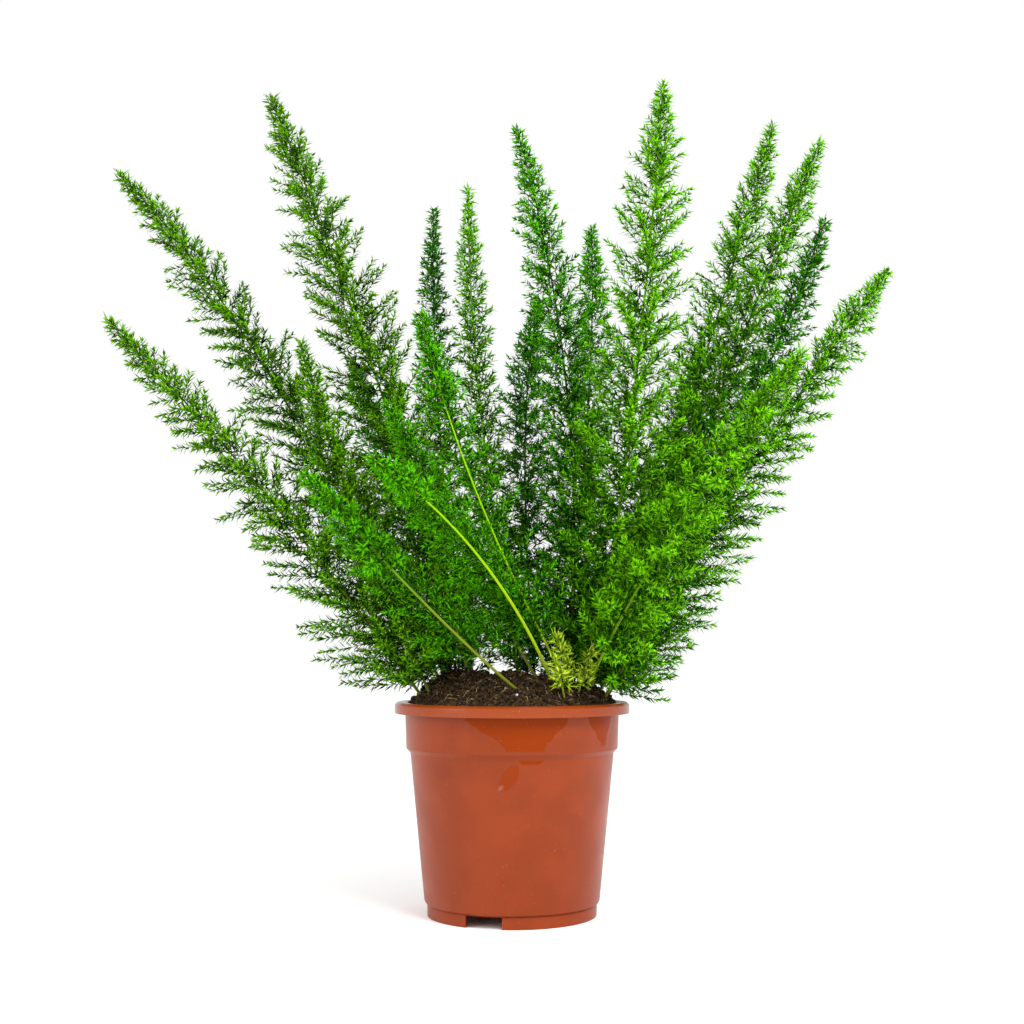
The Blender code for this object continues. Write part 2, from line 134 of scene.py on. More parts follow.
def add_node(finish, kind, inputs=None, **settings):
    """One node of a finish, with its settings, and its inputs as values or as linked sockets."""
    made = finish.node_tree.nodes.new(kind)
    for name, value in settings.items():
        setattr(made, name, value)
    for name, value in (inputs or {}).items():
        if isinstance(value, bpy.types.NodeSocket):
            finish.node_tree.links.new(value, made.inputs[name])
        else:
            made.inputs[name].default_value = value
    return made


def feed(finish, shader, **sockets):
    """Links sockets to a shader's inputs, whose names have a space for each underscore."""
    for name, socket in sockets.items():
        finish.node_tree.links.new(socket, shader.inputs[name.replace("_", " ")])


def sum_of(finish, operation, first, second=0.0, third=0.0):
    """The result of one sum on sockets or numbers."""
    made = add_node(finish, "ShaderNodeMath", {0: first, 1: second, 2: third}, operation=operation)
    return made.outputs[0]


def weighted(finish, base, *terms):
    """A base, to which each term's socket is added, times the term's weight."""
    total = base
    for socket, weight in terms:
        total = sum_of(finish, "MULTIPLY_ADD", socket, weight, total)
    return total


def fade(finish, value, low, high):
    """0 where value is at or below low, 1 where it is at or above high, smooth between."""
    made = add_node(finish, "ShaderNodeMapRange",
                    {"Value": value, "From Min": low, "From Max": high},
                    interpolation_type="SMOOTHSTEP")
    return made.outputs[0]


def blend_of(finish, share, first, second):
    """The first colour where share is 0, the second where it is 1."""
    made = add_node(finish, "ShaderNodeMix", {0: share, 6: first, 7: second}, data_type="RGBA")
    return made.outputs[2]


def own_place(finish):
    """The place on a piece, from the pot's foot, as one socket."""
    return add_node(finish, "ShaderNodeTexCoord").outputs["Object"]


def speckle(finish, scale, detail=2.0, roughness=0.5):
    """Noise of a given scale over the piece's own space."""
    made = add_node(finish, "ShaderNodeTexNoise",
                    {"Vector": own_place(finish), "Scale": scale, "Detail": detail,
                     "Roughness": roughness})
    return made.outputs["Fac"]


def bump_of(finish, strength, depth, height):
    """A bump in the finish, from a height of 0 to 1 that stands for its depth in metres."""
    made = add_node(finish, "ShaderNodeBump",
                    {"Strength": strength, "Distance": depth, "Height": height})
    return made.outputs[0]


def add_mesh(name, points, faces, finish, smooth=True):
    """A piece made of points and faces, at the origin."""
    mesh = bpy.data.meshes.new(name)
    mesh.from_pydata(points, [], faces)
    mesh.validate()
    mesh.materials.append(finish)
    if smooth:
        mesh.shade_smooth()
    piece = bpy.data.objects.new(name, mesh)
    bpy.context.scene.collection.objects.link(piece)
    return piece


def around(radius, angle, height):
    """A point at a radius and an angle round Z."""
    return (radius * math.cos(angle), radius * math.sin(angle), height)


def turn(profile, sides):
    """Points and faces of a profile turned round Z, going up its outer side."""
    count = len(profile)
    points = [around(radius, math.tau * side / sides, height)
              for side in range(sides) for radius, height in profile]
    faces = []
    for side in range(sides):
        here, there = side * count, (side + 1) % sides * count
        for step in range(count - 1):
            faces.append((here + step, there + step, there + step + 1, here + step + 1))
    return points, faces


def wall_inside(height):
    """Inside radius of the pot at a height."""
    if height >= collar_foot:
        share = min((height - collar_foot) / (rim_top - rim_band - collar_foot), 1.0)
        return collar_low + (collar_top - collar_low) * share - wall
    share = min((height - body_foot) / (body_top - body_foot), 1.0)
    return body_foot_radius + (body_top_radius - body_foot_radius) * share - wall


def terracotta_plastic():
    """Soft-gloss plastic with a faint mottle, wet patches, a run with its drop, and a dent with
    painted shade.
    """
    finish, shader = finish_for("terracotta_plastic", 0.36)
    x, y, z = add_node(finish, "ShaderNodeSeparateXYZ", {0: own_place(finish)}).outputs
    ragged = sum_of(finish, "MULTIPLY_ADD", speckle(finish, 130.0, 3.0), 0.006, -0.003)
    front = fade(finish, sum_of(finish, "MULTIPLY", y, -1.0), front_from, front_full)

    def patch(top, low):
        """1 inside a wet patch between its top and its low edge, with ragged sides."""
        down = fade(finish, z, low[2], top[2])
        half = sum_of(finish, "MULTIPLY_ADD", down, top[1] - low[1], low[1])
        middle = sum_of(finish, "MULTIPLY_ADD", down, top[0] - low[0], low[0])
        away = sum_of(finish, "ABSOLUTE", sum_of(finish, "SUBTRACT", x, middle))
        inside = sum_of(finish, "SUBTRACT", half, sum_of(finish, "ADD", away, ragged))
        above_low = fade(finish, z, low[2] - wet_low_out, low[2] + wet_low_in)
        under_top = sum_of(finish, "SUBTRACT", top[2] + wet_top_out, z)
        below_top = fade(finish, under_top, 0.0, wet_top_soft)
        shape = sum_of(finish, "MULTIPLY", fade(finish, inside, 0.0, wet_soft), above_low)
        shape = sum_of(finish, "MULTIPLY", shape, below_top)
        return sum_of(finish, "MULTIPLY", shape, front)

    def oval(middle_x, middle_z, half_x, half_z, lean, soft):
        """1 inside a leaning oval on the pot's front, fading out over its edge."""
        over = sum_of(finish, "SUBTRACT", z, middle_z)
        along = sum_of(finish, "MULTIPLY_ADD", over, -lean, sum_of(finish, "SUBTRACT", x, middle_x))
        first = sum_of(finish, "POWER", sum_of(finish, "MULTIPLY", along, 1 / half_x), 2.0)
        second = sum_of(finish, "POWER", sum_of(finish, "MULTIPLY", over, 1 / half_z), 2.0)
        shape = sum_of(finish, "SUBTRACT", 1.0, sum_of(finish, "ADD", first, second))
        return sum_of(finish, "MULTIPLY", fade(finish, shape, 0.0, soft), front)

    wet = sum_of(finish, "MULTIPLY", oval(*wet_run), run_share)
    for top, low in wet_patches:
        wet = sum_of(finish, "MAXIMUM", wet, patch(top, low))
    drop, dent = oval(*wet_drop), oval(*side_dent)
    tone = fade(finish, speckle(finish, 34.0, 3.0), 0.35, 0.65)
    rim_foot = rim_top - rim_band
    rim = fade(finish, z, rim_foot - 0.0005, rim_foot + 0.0005)
    dust = fade(finish, speckle(finish, 900.0, 1.0), 0.73, 0.77)
    colour = blend_of(finish, tone, paint(138, 52, 9), paint(130, 48, 6))
    colour = blend_of(finish, rim, colour, paint(142, 56, 10))
    # Painted shade: the dent's colour is darkened as if shade lay in its hollow.
    dent_painted_shade = sum_of(finish, "MULTIPLY", dent, dent_shade)
    colour = blend_of(finish, dent_painted_shade, colour, paint(118, 38, 8))
    colour = blend_of(finish, wet, colour, paint(134, 48, 2))
    dusty = sum_of(finish, "MULTIPLY", dust, dust_shade)
    colour = blend_of(finish, dusty, colour, paint(224, 160, 130))
    rough = weighted(finish, 0.34, (wet, -0.22), (tone, 0.05), (rim, -0.12))
    gloss = weighted(finish, 0.22, (wet, -0.16), (rim, 0.15), (drop, 0.60))
    height = weighted(finish, wet, (speckle(finish, 700.0, 2.0), 0.12), (drop, 4.0), (dent, -1.6))
    feed(finish, shader, Base_Color=colour, Roughness=rough, Specular_IOR_Level=gloss,
         Normal=bump_of(finish, 0.30, 0.0006, height))
    return finish


pot_profile = [
    (0.0, foot_height),
    (foot_radius - foot_wall, foot_height),
    (foot_radius - foot_wall, 0.0),
    (foot_radius, 0.0),
    (foot_radius + foot_flare, foot_height - groove_height),
    (foot_radius - groove_depth, foot_height),
    (body_foot_radius - heel_round, body_foot - heel_drop),
    (body_foot_radius, body_foot + heel_round),
    (body_top_radius, body_top),
    (collar_low, collar_foot),
    (collar_top, rim_top - wall - lip_extra),
    (rim_radius - wall, rim_top - wall - lip_extra),
    (rim_radius - wall, rim_top - rim_band),
    (rim_radius, rim_top - rim_band),
    (rim_radius, rim_top - rim_round),
    (rim_radius - rim_slope, rim_top),
    (wall_inside(rim_top) + mouth_slope, rim_top),
    (wall_inside(rim_top), rim_top - mouth_round),
    (wall_inside(collar_foot), collar_foot),
    (wall_inside(body_top), body_top),
    (wall_inside(foot_height + plate), foot_height + plate),
    (0.0, foot_height + plate),
]
points, faces = turn(pot_profile, pot_sides)
pot_shell = add_mesh("pot_shell", points, faces, terracotta_plastic())
weld = pot_shell.modifiers.new("weld", "WELD")
weld.merge_threshold = 0.00001


def notch_cutter(size, place, angle):
    """A block that cuts a notch, turned round Z."""
    corners = [(x, y, z) for x in (-0.5, 0.5) for y in (-0.5, 0.5) for z in (-0.5, 0.5)]
    sides = [(0, 1, 3, 2), (4, 6, 7, 5), (0, 4, 5, 1), (2, 3, 7, 6), (0, 2, 6, 4), (1, 5, 7, 3)]
    mesh = bpy.data.meshes.new("notch")
    mesh.from_pydata(corners, [], sides)
    move = Matrix.Rotation(angle, 4, "Z") @ Matrix.Translation(place) @ Matrix.Diagonal((*size, 1))
    mesh.transform(move)
    return bpy.data.objects.new("notch", mesh)


def drain_cutter(x, y):
    """A rod that cuts a drain hole through the plate."""
    ring = [around(drain_radius, math.tau * side / drain_sides, level)
            for level in (-drain_cut, drain_cut) for side in range(drain_sides)]
    caps = [tuple(reversed(range(drain_sides))), tuple(range(drain_sides, 2 * drain_sides))]
    sides = [(side, (side + 1) % drain_sides, drain_sides + (side + 1) % drain_sides,
              drain_sides + side) for side in range(drain_sides)]
    mesh = bpy.data.meshes.new("drain")
    mesh.from_pydata(ring, [], caps + sides)
    mesh.transform(Matrix.Translation((x, y, foot_height + plate / 2)))
    return bpy.data.objects.new("drain", mesh)


cutters = bpy.data.collections.new("pot_cutters")
bpy.context.scene.collection.children.link(cutters)
notch_size = (3 * foot_wall, notch_width, 2 * notch_height)
for angle in notch_angles:
    cutters.objects.link(notch_cutter(notch_size, (foot_radius - foot_wall / 2, 0, 0), angle))
cutters.objects.link(drain_cutter(0.0, 0.0))
for hole in range(drain_holes):
    x, y, _ = around(drain_circle, math.tau * hole / drain_holes, 0)
    cutters.objects.link(drain_cutter(x, y))
cut = pot_shell.modifiers.new("cut", "BOOLEAN")
cut.operation = "DIFFERENCE"
cut.operand_type = "COLLECTION"
cut.collection = cutters
cut.solver = "EXACT"
shaped = bpy.data.meshes.new_from_object(
    pot_shell.evaluated_get(bpy.context.evaluated_depsgraph_get()))
pot_shell.modifiers.clear()
pot_shell.data = shaped
for cutter in list(cutters.objects):
    bpy.data.objects.remove(cutter, do_unlink=True)
bpy.data.collections.remove(cutters)
soften = pot_shell.modifiers.new("soft_edges", "BEVEL")
soften.width = edge_round
soften.segments = 3
soften.limit_method = "ANGLE"
soften.angle_limit = math.radians(38)
pot_shell.data.shade_smooth()
pot_shell.data.set_sharp_from_angle(angle=math.radians(60))
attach(pot_shell, "root")
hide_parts("pot")

# The soil: moist dark peat that fills the pot and is heaped a little above the rim round the
# stems. It is one lumpy heap, just clear of the pot's wall.
soil_gap = 0.0003
soil_edge_height = 0.1500
soil_rise = 0.0185
soil_waist = 0.115
# Each heap is its x, y, rise and spread
soil_heaps = (
    (-0.045, 0.012, 0.0080, 0.020),
    (0.062, 0.018, 0.0045, 0.014),
    (0.000, 0.030, 0.0020, 0.018),
    (-0.010, -0.045, -0.0030, 0.020),
)
# The peat's lumps, coarse to fine: height, how many to a metre, and a level in the noise
peat_lumps = ((0.0032, 95.0, 0.3), (0.0024, 260.0, 5.1), (0.0012, 620.0, 9.7))
soil_sides = 220
soil_rings = 70


def soil_height(x, y):
    """Height of the heap at a place, without its lumps."""
    share = min(math.hypot(x, y) / (wall_inside(soil_edge_height) - soil_gap), 1.0)
    height = soil_edge_height + soil_rise * (1 - share ** 3)
    for heap_x, heap_y, rise, spread in soil_heaps:
        away = math.hypot(x - heap_x, y - heap_y) / spread
        height += rise * math.exp(-away * away) * (1 - share ** 6)
    return height


def soil_top(x, y):
    """Height of the soil at a place, with the lumps and pits of the loose peat."""
    lumps = 0.0
    for height, scale, level in peat_lumps:
        scaled = Vector((x, y, level)) * scale
        lumps += height * noise.noise(scaled)
    return soil_height(x, y) + lumps


def peat():
    """Dark crumbly peat, mottled at random, with pale specks that are partly painted highlights."""
    finish, shader = finish_for("peat", 0.95)
    tone = fade(finish, speckle(finish, 420.0, 4.0, 0.7), 0.40, 0.68)
    colour = blend_of(finish, tone, paint(11, 8, 4), paint(90, 64, 36))
    # Pale specks: partly pale bits in the peat, partly painted highlights.
    pale = fade(finish, speckle(finish, 900.0, 2.0), 0.66, 0.74)
    colour = blend_of(finish, sum_of(finish, "MULTIPLY", pale, 0.55), colour, paint(150, 116, 82))
    feed(finish, shader, Base_Color=colour,
         Normal=bump_of(finish, 0.8, 0.0008, speckle(finish, 1300.0, 4.0, 0.7)))
    shader.inputs["Specular IOR Level"].default_value = 0.25
    return finish


peat_finish = peat()
points, faces = [], []
for ring in range(soil_rings + 1):
    radius = (wall_inside(soil_edge_height) - soil_gap) * ring / soil_rings
    for side in range(soil_sides):
        x, y, _ = around(radius, math.tau * side / soil_sides, 0)
        points.append((x, y, soil_top(x, y)))
for depth in (soil_waist, foot_height + plate + soil_gap):
    radius = wall_inside(depth) - soil_gap
    points += [around(radius, math.tau * side / soil_sides, depth) for side in range(soil_sides)]
for ring in range(soil_rings + 2):
    low, high = ring * soil_sides, (ring + 1) * soil_sides
    for side in range(soil_sides):
        after = (side + 1) % soil_sides
        faces.append((low + side, high + side, high + after, low + after))
last = (soil_rings + 2) * soil_sides
faces.append(tuple(reversed(range(last, last + soil_sides))))
soil_heap = add_mesh("soil_heap", points, faces, peat_finish)
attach(soil_heap, "root")
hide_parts("soil")

# Loose bits on the soil: crumbs of peat, a few white grains, and pale fibres of root and bark.
# All of them lie where they fell, half sunk in the heap.
crumb_count = 2200
crumb_sizes = (0.0007, 0.0032)
grain_count = 26
grain_sizes = (0.0007, 0.0015)
crumb_reach = 0.073
fibre_count = 520
fibre_reach = 0.072
fibre_edge = 0.0735
fibre_points = 6
chance = random.Random(5)


def mottled(name, dark, pale, scale, roughness):
    """Two colours mottled into each other, with a light bump."""
    finish, shader = finish_for(name, roughness)
    tone = fade(finish, speckle(finish, scale, 3.0), 0.38, 0.62)
    feed(finish, shader, Base_Color=blend_of(finish, tone, dark, pale),
         Normal=bump_of(finish, 0.4, 0.0004, speckle(finish, 2 * scale, 2.0)))
    return finish


def add_part(points, faces, corners, sides):
    """Adds the corners and sides of one small body to a piece's points and faces."""
    start = len(points)
    points += corners
    faces += [tuple(start + corner for corner in side) for side in sides]


# A lump starts as a ball of twenty triangles: two poles and two rings of five corners
ring_radius, ring_level = 0.894, 0.447
ball = [Vector((0, 0, 1)), Vector((0, 0, -1))]
ball += [Vector(around(ring_radius, math.tau * side / 5, ring_level)) for side in range(5)]
ball += [Vector(around(ring_radius, math.tau * (side + 0.5) / 5, -ring_level))
         for side in range(5)]
ball_faces = []
for side in range(5):
    after = (side + 1) % 5
    ball_faces.append((0, 2 + side, 2 + after))
    ball_faces.append((2 + side, 7 + side, 2 + after))
    ball_faces.append((2 + after, 7 + side, 7 + after))
    ball_faces.append((1, 7 + after, 7 + side))


def scatter(count, sizes, flat):
    """Small rough lumps lying on the soil."""
    points, faces = [], []
    for _ in range(count):
        radius = crumb_reach * math.sqrt(chance.random())
        x, y, _ = around(radius, chance.uniform(0, math.tau), 0)
        size = chance.uniform(*sizes) * chance.uniform(0.6, 1.0)
        centre = Vector((x, y, soil_top(x, y) + 0.25 * size))
        turn_by = Matrix.Rotation(chance.uniform(0, math.tau), 3, "Z")
        turn_by = turn_by @ Matrix.Rotation(chance.uniform(-0.6, 0.6), 3, "X")
        stretch = Vector((chance.uniform(0.7, 1.4), chance.uniform(0.6, 1.0), flat))
        corners = []
        for corner in ball:
            bump = Vector(a * b for a, b in zip(corner, stretch)) * chance.uniform(0.75, 1.15)
            corners.append(centre + turn_by @ bump * size)
        add_part(points, faces, corners, ball_faces)
    return points, faces


def tube(points, radii, sides):
    """Corners and faces of a closed tube along a line of points, flat at both ends."""
    line = [Vector(point) for point in points]
    corners, faces = [], []
    side_way = (line[1] - line[0]).orthogonal()
    for step, centre in enumerate(line):
        ahead = line[min(step + 1, len(line) - 1)] - line[max(step - 1, 0)]
        axis = ahead.normalized()
        side_way = (side_way - axis * side_way.dot(axis)).normalized()
        across = axis.cross(side_way)
        for side in range(sides):
            angle = math.tau * side / sides
            corners.append(centre + radii[step] * (side_way * math.cos(angle)
                                                   + across * math.sin(angle)))
    for step in range(len(line) - 1):
        low, high = step * sides, (step + 1) * sides
        for side in range(sides):
            after = (side + 1) % sides
            faces.append((low + side, low + after, high + after, high + side))
    faces.append(tuple(reversed(range(sides))))
    last = (len(line) - 1) * sides
    faces.append(tuple(range(last, last + sides)))
    return corners, faces


def fibre_line():
    """Points along one fibre that arches a little off the soil, up to the soil's edge."""
    radius = fibre_reach * math.sqrt(chance.random())
    x, y, _ = around(radius, chance.uniform(0, math.tau), 0)
    heading, bend = chance.uniform(0, math.tau), chance.uniform(-0.5, 0.5)
    step_length = chance.uniform(0.0008, 0.0022)
    lift = chance.uniform(0.0002, 0.0016)
    line = []
    for step in range(fibre_points):
        if math.hypot(x, y) > fibre_edge:
            break
        arch = lift * math.sin(math.pi * step / (fibre_points - 1))
        line.append((x, y, soil_top(x, y) + arch + 0.0002))
        x += step_length * math.cos(heading)
        y += step_length * math.sin(heading)
        heading += bend
    return line


points, faces = scatter(crumb_count, crumb_sizes, 0.75)
soil_crumbs = add_mesh("soil_crumbs", points, faces, peat_finish, smooth=False)
points, faces = scatter(grain_count, grain_sizes, 0.8)
white_grain = mottled("white_grain", paint(176, 168, 152), paint(226, 220, 206), 900.0, 0.8)
soil_grains = add_mesh("soil_grains", points, faces, white_grain, smooth=False)
points, faces = [], []
for _ in range(fibre_count):
    line = fibre_line()
    if len(line) > 2:
        thick = chance.uniform(0.00008, 0.00026)
        add_part(points, faces, *tube(line, [thick] * len(line), 4))
fibre_finish = mottled("bark_fibre", paint(96, 72, 42), paint(190, 156, 106), 500.0, 0.85)
soil_fibres = add_mesh("soil_fibres", points, faces, fibre_finish)
for piece in (soil_crumbs, soil_grains, soil_fibres):
    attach(piece, "root")

# The plumes: old leafy stems of the fern. Each is a stem that bends outwards, slim twigs in
# a spiral all round it, and pointed needles along every twig, shorter towards the tip.
# Each line is the foot on the soil, the waist, the tip and the reach of the twigs.
plumes = {
    "plume_left_low": ((-0.066, -0.008), (-0.179, -0.030, 0.303), (-0.286, -0.060, 0.421), 0.024),
    "plume_left_upper": ((-0.053, 0.020), (-0.196, 0.025, 0.415), (-0.291, -0.020, 0.539), 0.024),
    "plume_left_tall": ((-0.032, 0.010), (-0.099, 0.000, 0.385), (-0.179, -0.020, 0.597), 0.028),
    "plume_slim_dark": ((-0.032, 0.045), (-0.059, 0.110, 0.367), (-0.067, 0.150, 0.563), 0.016),
    "plume_slim_bright": ((0.006, 0.046), (-0.026, 0.090, 0.388), (-0.036, 0.110, 0.570), 0.015),
    "plume_broad_dark": ((0.042, 0.024), (0.042, 0.020, 0.377), (0.003, 0.000, 0.582), 0.022),
    "plume_back_short": ((0.038, 0.049), (0.063, 0.120, 0.393), (0.068, 0.165, 0.553), 0.021),
    "plume_tall_bright": ((0.058, 0.000), (0.087, -0.035, 0.368), (0.108, -0.060, 0.591), 0.028),
    "plume_right_tall": ((0.058, 0.030), (0.150, 0.070, 0.412), (0.202, 0.030, 0.594), 0.023),
    "plume_right_mid": ((0.065, 0.015), (0.162, 0.045, 0.389), (0.245, 0.060, 0.592), 0.022),
    "plume_right_dark": ((0.069, -0.002), (0.163, -0.015, 0.341), (0.231, -0.020, 0.505), 0.021),
    "plume_right_low": ((0.066, -0.019), (0.170, -0.022, 0.316), (0.286, 0.020, 0.477), 0.022),
    "plume_front_right": ((0.053, -0.022), (0.104, -0.100, 0.263), (0.183, -0.170, 0.377), 0.023),
    "plume_front_high": ((0.040, -0.026), (-0.023, -0.085, 0.293), (-0.061, -0.120, 0.412), 0.025),
    "plume_front_left": ((0.029, -0.033), (-0.020, -0.120, 0.248), (-0.085, -0.208, 0.305), 0.025),
    "plume_front_low": ((0.004, -0.052), (-0.057, -0.120, 0.220), (-0.127, -0.196, 0.298), 0.022),
    "plume_left_inner": ((-0.059, -0.020), (-0.117, -0.020, 0.297), (-0.152, -0.040, 0.410), 0.024),
    "plume_front_inner": ((0.018, -0.022), (-0.029, -0.050, 0.252), (-0.089, -0.060, 0.363), 0.024),
    "plume_back_centre": ((0.018, 0.056), (0.011, 0.130, 0.361), (0.025, 0.190, 0.493), 0.024),
    "plume_back_left": ((-0.043, 0.044), (-0.093, 0.140, 0.312), (-0.144, 0.208, 0.445), 0.024),
    "plume_back_right": ((0.050, 0.048), (0.123, 0.140, 0.312), (0.168, 0.208, 0.458), 0.024),
}
# Plumes that lean to the viewer and show their stem: up to which share of it, and how stout
front_plumes = {
    "plume_front_left": (0.78, 1.05),
    "plume_front_high": (0.75, 0.75),
    "plume_front_low": (0.60, 0.95),
}
viewer_side = 0.15
root_depth = 0.028
curve_points = 65
stem_sides = 8
stem_radius_foot = 0.00115
stem_radius_tip = 0.00045
stem_end = 0.003
stem_turns = (0.19, 0.34)
bare_foot = 0.006
front_bare = 0.034
twig_sides = 3
twig_radius = 0.00036
twig_thinning = 0.6
twig_spacing = 0.0019
twig_steps = 4
twig_sway = 0.18
twig_lengths = (0.80, 1.04)
twig_up_less = 0.18
twig_ahead = 0.35
twig_sag = -0.12
twig_clear = 0.0015
golden_turn = math.radians(137.5)
turn_sway = 0.3
open_sway = 0.14
pitch_range = (0.8, 1.2)
# Twigs stand closer together from here to the tip, at a share of their spacing there
crowded_from = 0.11
tip_crowding = 0.55
crowding_less = 0.45
# How far the twigs reach, as a share of the plume's reach, by the way left to its tip
reach_away = (0.0, 0.026, 0.055, 0.110, 0.280)
reach_shares = (0.06, 0.26, 0.60, 1.05, 1.72)
twig_open_away = (0.0, 0.110)
twig_opens = (math.radians(40), math.radians(62))
needles_together = 3
first_needle = 0.001
first_needle_share = 0.10
needle_turn = math.radians(140)
needle_sway = 0.4
needle_lean = 72
needle_lean_less = 22
needle_pitch = 0.0023
needle_length = 0.0080
needle_lengths = (0.78, 1.12)
needle_taper = 0.35
taper_from = 0.6
taper_over = 0.4
needle_width = 0.00082
needle_thickness = 0.00040
needle_middle = 0.42
needle_bend = 0.10
# Tones run from 0, dark, to 1, bright: painted shade at a twig's root, and the painted light that
# its tip, the plume's tip and a needle's own tip add
base_tone = 0.12
twig_painted_light = 0.32
plume_tip_painted_light = 0.32
light_reach = 0.1
needle_tip_painted_light = 0.25
tone_sway = 0.42
leaf_mottle = 0.7

# One needle: a kite with a keel under it, between its root and its sharp tip, as shares of
# its length, width and thickness
needle_shape = np.array([(0.0, 0.0, 0.0), (needle_middle, 1.0, 1.0), (needle_middle, -1.0, 1.0),
                         (1.0, 0.0, 0.0)])
needle_faces = np.array([(0, 2, 1), (3, 1, 2), (0, 1, 3), (0, 3, 2)])


def stem_line(foot, waist, tip):
    """The stem's curve from the soil, through its waist half way, to its tip."""
    ground = Vector((foot[0], foot[1], soil_height(*foot)))
    waist, tip = Vector(waist), Vector(tip)
    handle = 2 * waist - (ground + tip) / 2
    first = ground + (handle - ground) * 2 / 3
    second = tip + (handle - tip) * 2 / 3
    return [Vector(point) for point in interpolate_bezier(ground, first, second, tip, curve_points)]


def leaf_green(name, dark, bright):
    """Waxy green, dark to bright over the needles' tone, which holds painted shade and light."""
    finish, shader = finish_for(name, 0.55)
    tone = add_node(finish, "ShaderNodeAttribute", attribute_name="tone").outputs["Fac"]
    mottle = sum_of(finish, "SUBTRACT", speckle(finish, 160.0, 2.0), 0.5)
    share = fade(finish, weighted(finish, tone, (mottle, leaf_mottle)), 0.0, 1.0)
    feed(finish, shader, Base_Color=blend_of(finish, share, dark, bright))
    shader.inputs["Specular IOR Level"].default_value = 0.03
    return finish


def stem_green(name, low, high):
    """Skin of a stem, low colour near the soil and high colour up the plume, and of its twigs."""
    finish, shader = finish_for(name, 0.5)
    z = add_node(finish, "ShaderNodeSeparateXYZ", {0: own_place(finish)}).outputs[2]
    wander = weighted(finish, z, (speckle(finish, 70.0, 3.0), 0.05))
    colour = blend_of(finish, fade(finish, wander, *stem_turns), low, high)
    twig = add_node(finish, "ShaderNodeAttribute", attribute_name="twig").outputs["Fac"]
    colour = blend_of(finish, twig, colour, paint(34, 92, 4))
    feed(finish, shader, Base_Color=colour,
         Normal=bump_of(finish, 0.3, 0.0002, speckle(finish, 900.0, 2.0)))
    shader.inputs["Specular IOR Level"].default_value = 0.08
    return finish


def add_needles(name, needles, width, finish):
    """All the needles of a plume as one mesh, each bent a little back towards its twig."""
    roots, ways, sides, lengths, tones = (np.array(column) for column in zip(*needles))
    lengths = lengths[:, None, None]
    ways /= np.linalg.norm(ways, axis=1)[:, None]
    sides -= ways * np.einsum("ij,ij->i", ways, sides)[:, None]
    sides /= np.linalg.norm(sides, axis=1)[:, None]
    fronts = np.cross(ways, sides)
    along, across, up = (needle_shape[None, :, axis, None] for axis in range(3))
    corners = roots[:, None] + ways[:, None] * along * lengths
    corners = corners + sides[:, None] * across * width
    lift = up * needle_thickness + needle_bend * lengths * along ** 2
    corners = (corners + fronts[:, None] * lift).reshape(-1, 3)
    starts = len(needle_shape) * np.arange(len(roots))[:, None, None]
    faces = (needle_faces[None] + starts).reshape(-1)
    mesh = bpy.data.meshes.new(name)
    mesh.vertices.add(len(corners))
    mesh.vertices.foreach_set("co", corners.astype(np.float32).ravel())
    mesh.loops.add(len(faces))
    mesh.loops.foreach_set("vertex_index", faces.astype(np.int32))
    mesh.polygons.add(len(faces) // 3)
    mesh.polygons.foreach_set("loop_start", np.arange(0, len(faces), 3, dtype=np.int32))
    mesh.update(calc_edges=True)
    tone = mesh.attributes.new("tone", "FLOAT", "POINT")
    # Painted light: each needle is painted lighter towards its own tip.
    painted_tip_light = needle_tip_painted_light * needle_shape[None, :, 0]
    tone.data.foreach_set("value", (tones[:, None] + painted_tip_light).astype(np.float32).ravel())
    mesh.materials.append(finish)
    piece = bpy.data.objects.new(name, mesh)
    bpy.context.scene.collection.objects.link(piece)
    return piece


def buried(point):
    """Whether a point of a twig would lie in the soil or in the pot's rim."""
    away = math.hypot(point.x, point.y)
    if away > rim_radius + 0.003:
        return point.z < rim_top and away < rim_radius + 0.008
    return point.z < max(soil_height(point.x, point.y), rim_top) + twig_clear


def twig_line(centre, way, curl, length):
    """Points along a twig that starts one way and curls, and its way at each of them."""
    points, ways = [centre], [way]
    for _ in range(twig_steps):
        points.append(points[-1] + ways[-1] * length / twig_steps)
        ways.append((ways[-1] + curl).normalized())
    return points, ways


def place_along(line, marks, along):
    """The point at a length along a stem, and the stem's way there."""
    step = min(max(int(np.searchsorted(marks, along, side="right")), 1), len(line) - 1)
    share = (along - marks[step - 1]) / (marks[step] - marks[step - 1])
    return line[step - 1].lerp(line[step], share), (line[step] - line[step - 1]).normalized()


def needles_round(twig, twig_ways, twig_length, size, tone, chance):
    """Needles in threes all along a twig: the root, way, side, length and tone of each."""
    needles = []
    spot = first_needle_share * twig_length + first_needle
    spin = chance.uniform(0, math.tau)
    while spot < twig_length:
        share = spot / twig_length
        step = min(int(share * twig_steps), twig_steps - 1)
        base = twig[step].lerp(twig[step + 1], share * twig_steps - step)
        way = twig_ways[step]
        across = way.orthogonal().normalized()
        taper = 1 - needle_taper * max(share - taper_from, 0) / taper_over
        # Painted shade and light: needles are darker near the twig's root and lighter out towards
        # its tip.
        shade = base_tone + twig_painted_light * share + tone
        for _ in range(needles_together):
            spin += needle_turn + chance.uniform(-needle_sway, needle_sway)
            out = Matrix.Rotation(spin, 3, way) @ across
            lean = math.radians(needle_lean - needle_lean_less * share)
            lean += chance.uniform(-needle_sway, needle_sway)
            leaning = out * math.sin(lean) + way * math.cos(lean)
            length = needle_length * size * taper * chance.uniform(*needle_lengths)
            needle_tone = shade + chance.uniform(-tone_sway, tone_sway)
            needles.append((base, leaning, way.cross(out), length, needle_tone))
        spot += needle_pitch * size * chance.uniform(*pitch_range)
    return needles


